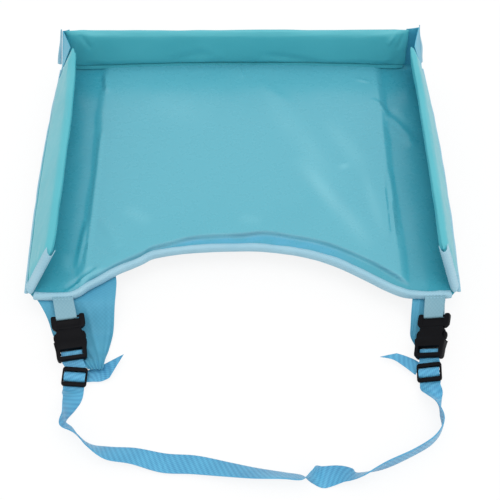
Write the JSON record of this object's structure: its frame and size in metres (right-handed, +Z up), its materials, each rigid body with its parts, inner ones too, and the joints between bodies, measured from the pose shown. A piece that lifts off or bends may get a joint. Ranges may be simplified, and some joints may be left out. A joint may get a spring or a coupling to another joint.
{
  "type": "car seat tray table",
  "caption": "Padded travel tray with a waist cut-out, three folding walls, side pockets and a strap with side-release buckles.",
  "frame": {"origin": "middle of the whole outline, on the surface that the tray lies on", "axes": "+Z up; +Y towards the back wall, the strap lies towards -Y; +X towards the child's left hand side of the tray as seen in the picture's right"},
  "size_m": [0.4142, 0.5138, 0.088],
  "materials": {
    "film": "smooth wipe-clean film, semi-gloss",
    "foam": "soft foam sheet",
    "board": "plain board",
    "padded_cloth": "smooth coated cloth",
    "tape": "woven binding tape",
    "webbing": "woven webbing",
    "pocket_cloth": "stretchy cloth",
    "buckle_plastic": "moulded, satin"
  },
  "bodies": {
    "tray": {"floor_film": "film", "floor_foam": "foam", "floor_board": "board", "bottom_cover": "padded_cloth", "front_edge_tape": "tape", "left_base_seam_tape": "tape", "right_base_seam_tape": "tape", "back_base_seam_tape": "tape", "left_tab": "tape", "right_tab": "tape", "left_rear_gusset": "padded_cloth", "right_rear_gusset": "padded_cloth", "left_rear_corner_tape": "tape", "right_rear_corner_tape": "tape", "main_strap": "webbing"},
    "back_wall": {"back_wall_cover": "padded_cloth", "back_wall_foam": "foam"},
    "left_wall": {"left_wall_cover": "padded_cloth", "left_wall_foam": "foam", "left_wall_end_tape": "tape"},
    "left_pocket": {"left_pocket": "pocket_cloth", "left_pocket_elastic": "webbing", "left_pocket_end": "pocket_cloth"},
    "left_plug": {"left_plug": "buckle_plastic"},
    "left_inner_latch": {"left_inner_latch_arm": "buckle_plastic"},
    "left_outer_latch": {"left_outer_latch_arm": "buckle_plastic"},
    "left_socket": {"left_socket": "buckle_plastic", "left_strap_loop": "webbing"},
    "left_slider": {"left_slider": "buckle_plastic", "left_strap_tail": "webbing"},
    "right_wall": {"right_wall_cover": "padded_cloth", "right_wall_foam": "foam", "right_wall_end_tape": "tape"},
    "right_pocket": {"right_pocket": "pocket_cloth", "right_pocket_elastic": "webbing", "right_pocket_end": "pocket_cloth"},
    "right_plug": {"right_plug": "buckle_plastic"},
    "right_inner_latch": {"right_inner_latch_arm": "buckle_plastic"},
    "right_outer_latch": {"right_outer_latch_arm": "buckle_plastic"},
    "right_socket": {"right_socket": "buckle_plastic", "right_strap_loop": "webbing"},
    "right_slider": {"right_slider": "buckle_plastic", "right_strap_tail": "webbing"}
  },
  "joints": [
    {"name": "left_wall_fold", "type": "hinge", "parent": "tray", "child": "left_wall", "pos_m": [-0.197, -0.07376, 0.0312], "axis": [0, 1, 0], "range_deg": [-36, 62], "deforming": ["left_rear_gusset"]},
    {"name": "right_wall_fold", "type": "hinge", "parent": "tray", "child": "right_wall", "pos_m": [0.197, -0.07376, 0.0312], "axis": [0, -1, 0], "range_deg": [-29, 69], "deforming": ["right_rear_gusset"]},
    {"name": "back_wall_fold", "type": "hinge", "parent": "tray", "child": "back_wall", "pos_m": [0, 0.24224, 0.034], "axis": [1, 0, 0], "range_deg": [-10, 5], "deforming": ["left_rear_gusset", "right_rear_gusset"]},
    {"name": "left_pocket_fold", "type": "hinge", "parent": "tray", "child": "left_pocket", "pos_m": [-0.2, -0.07376, 0.0197], "axis": [0, 1, 0], "range_deg": [0, 90]},
    {"name": "left_buckle_swing", "type": "hinge", "parent": "tray", "child": "left_plug", "pos_m": [-0.1622, -0.09456, 0.0197], "axis": [-0.9819, -0.1861, 0.0341], "range_deg": [0, 75], "deforming": ["main_strap"]},
    {"name": "left_buckle_release", "type": "slide", "parent": "left_plug", "child": "left_socket", "axis": [0.1746, -0.9606, -0.2164], "range_m": [0, 0.03], "deforming": ["left_inner_latch_arm", "left_outer_latch_arm", "main_strap", "left_pocket_end"]},
    {"name": "left_slider_slide", "type": "slide", "parent": "left_socket", "child": "left_slider", "axis": [-0.0511, -0.975, -0.2164], "range_m": [0, 0.025], "deforming": ["main_strap", "left_pocket_end"]},
    {"name": "left_inner_latch_squeeze", "type": "hinge", "parent": "left_plug", "child": "left_inner_latch", "pos_m": [-0.15089, -0.10483, 0.01668], "axis": [-0.073, 0.2066, -0.9757], "range_deg": [0, 10], "stiffness_Nm_per_rad": 0.005},
    {"name": "left_outer_latch_squeeze", "type": "hinge", "parent": "left_plug", "child": "left_outer_latch", "pos_m": [-0.16915, -0.1083, 0.01731], "axis": [0.073, -0.2066, 0.9757], "range_deg": [0, 10], "stiffness_Nm_per_rad": 0.005},
    {"name": "right_pocket_fold", "type": "hinge", "parent": "tray", "child": "right_pocket", "pos_m": [0.2, -0.07376, 0.0197], "axis": [0, -1, 0], "range_deg": [0, 90]},
    {"name": "right_buckle_swing", "type": "hinge", "parent": "tray", "child": "right_plug", "pos_m": [0.1773, -0.09596, 0.021], "axis": [-0.8262, 0.271, -0.4938], "range_deg": [0, 75], "deforming": ["main_strap"]},
    {"name": "right_buckle_release", "type": "slide", "parent": "right_plug", "child": "right_socket", "axis": [-0.2222, -0.9624, -0.1564], "range_m": [0, 0.03], "deforming": ["right_inner_latch_arm", "right_outer_latch_arm", "main_strap"]},
    {"name": "right_slider_slide", "type": "slide", "parent": "right_socket", "child": "right_slider", "axis": [-0.0517, -0.9863, -0.1564], "range_m": [0, 0.025], "deforming": ["main_strap"]},
    {"name": "right_inner_latch_squeeze", "type": "hinge", "parent": "right_plug", "child": "right_inner_latch", "pos_m": [0.16684, -0.10547, 0.01445], "axis": [-0.5177, -0.0195, 0.8554], "range_deg": [0, 10], "stiffness_Nm_per_rad": 0.005},
    {"name": "right_outer_latch_squeeze", "type": "hinge", "parent": "right_plug", "child": "right_outer_latch", "pos_m": [0.18221, -0.11051, 0.02364], "axis": [0.5177, 0.0195, -0.8554], "range_deg": [0, 10], "stiffness_Nm_per_rad": 0.005}
  ],
  "couplings": [
    {"joint": "left_outer_latch_squeeze", "follows": "left_inner_latch_squeeze", "ratio": 1},
    {"joint": "right_outer_latch_squeeze", "follows": "right_inner_latch_squeeze", "ratio": 1}
  ]
}
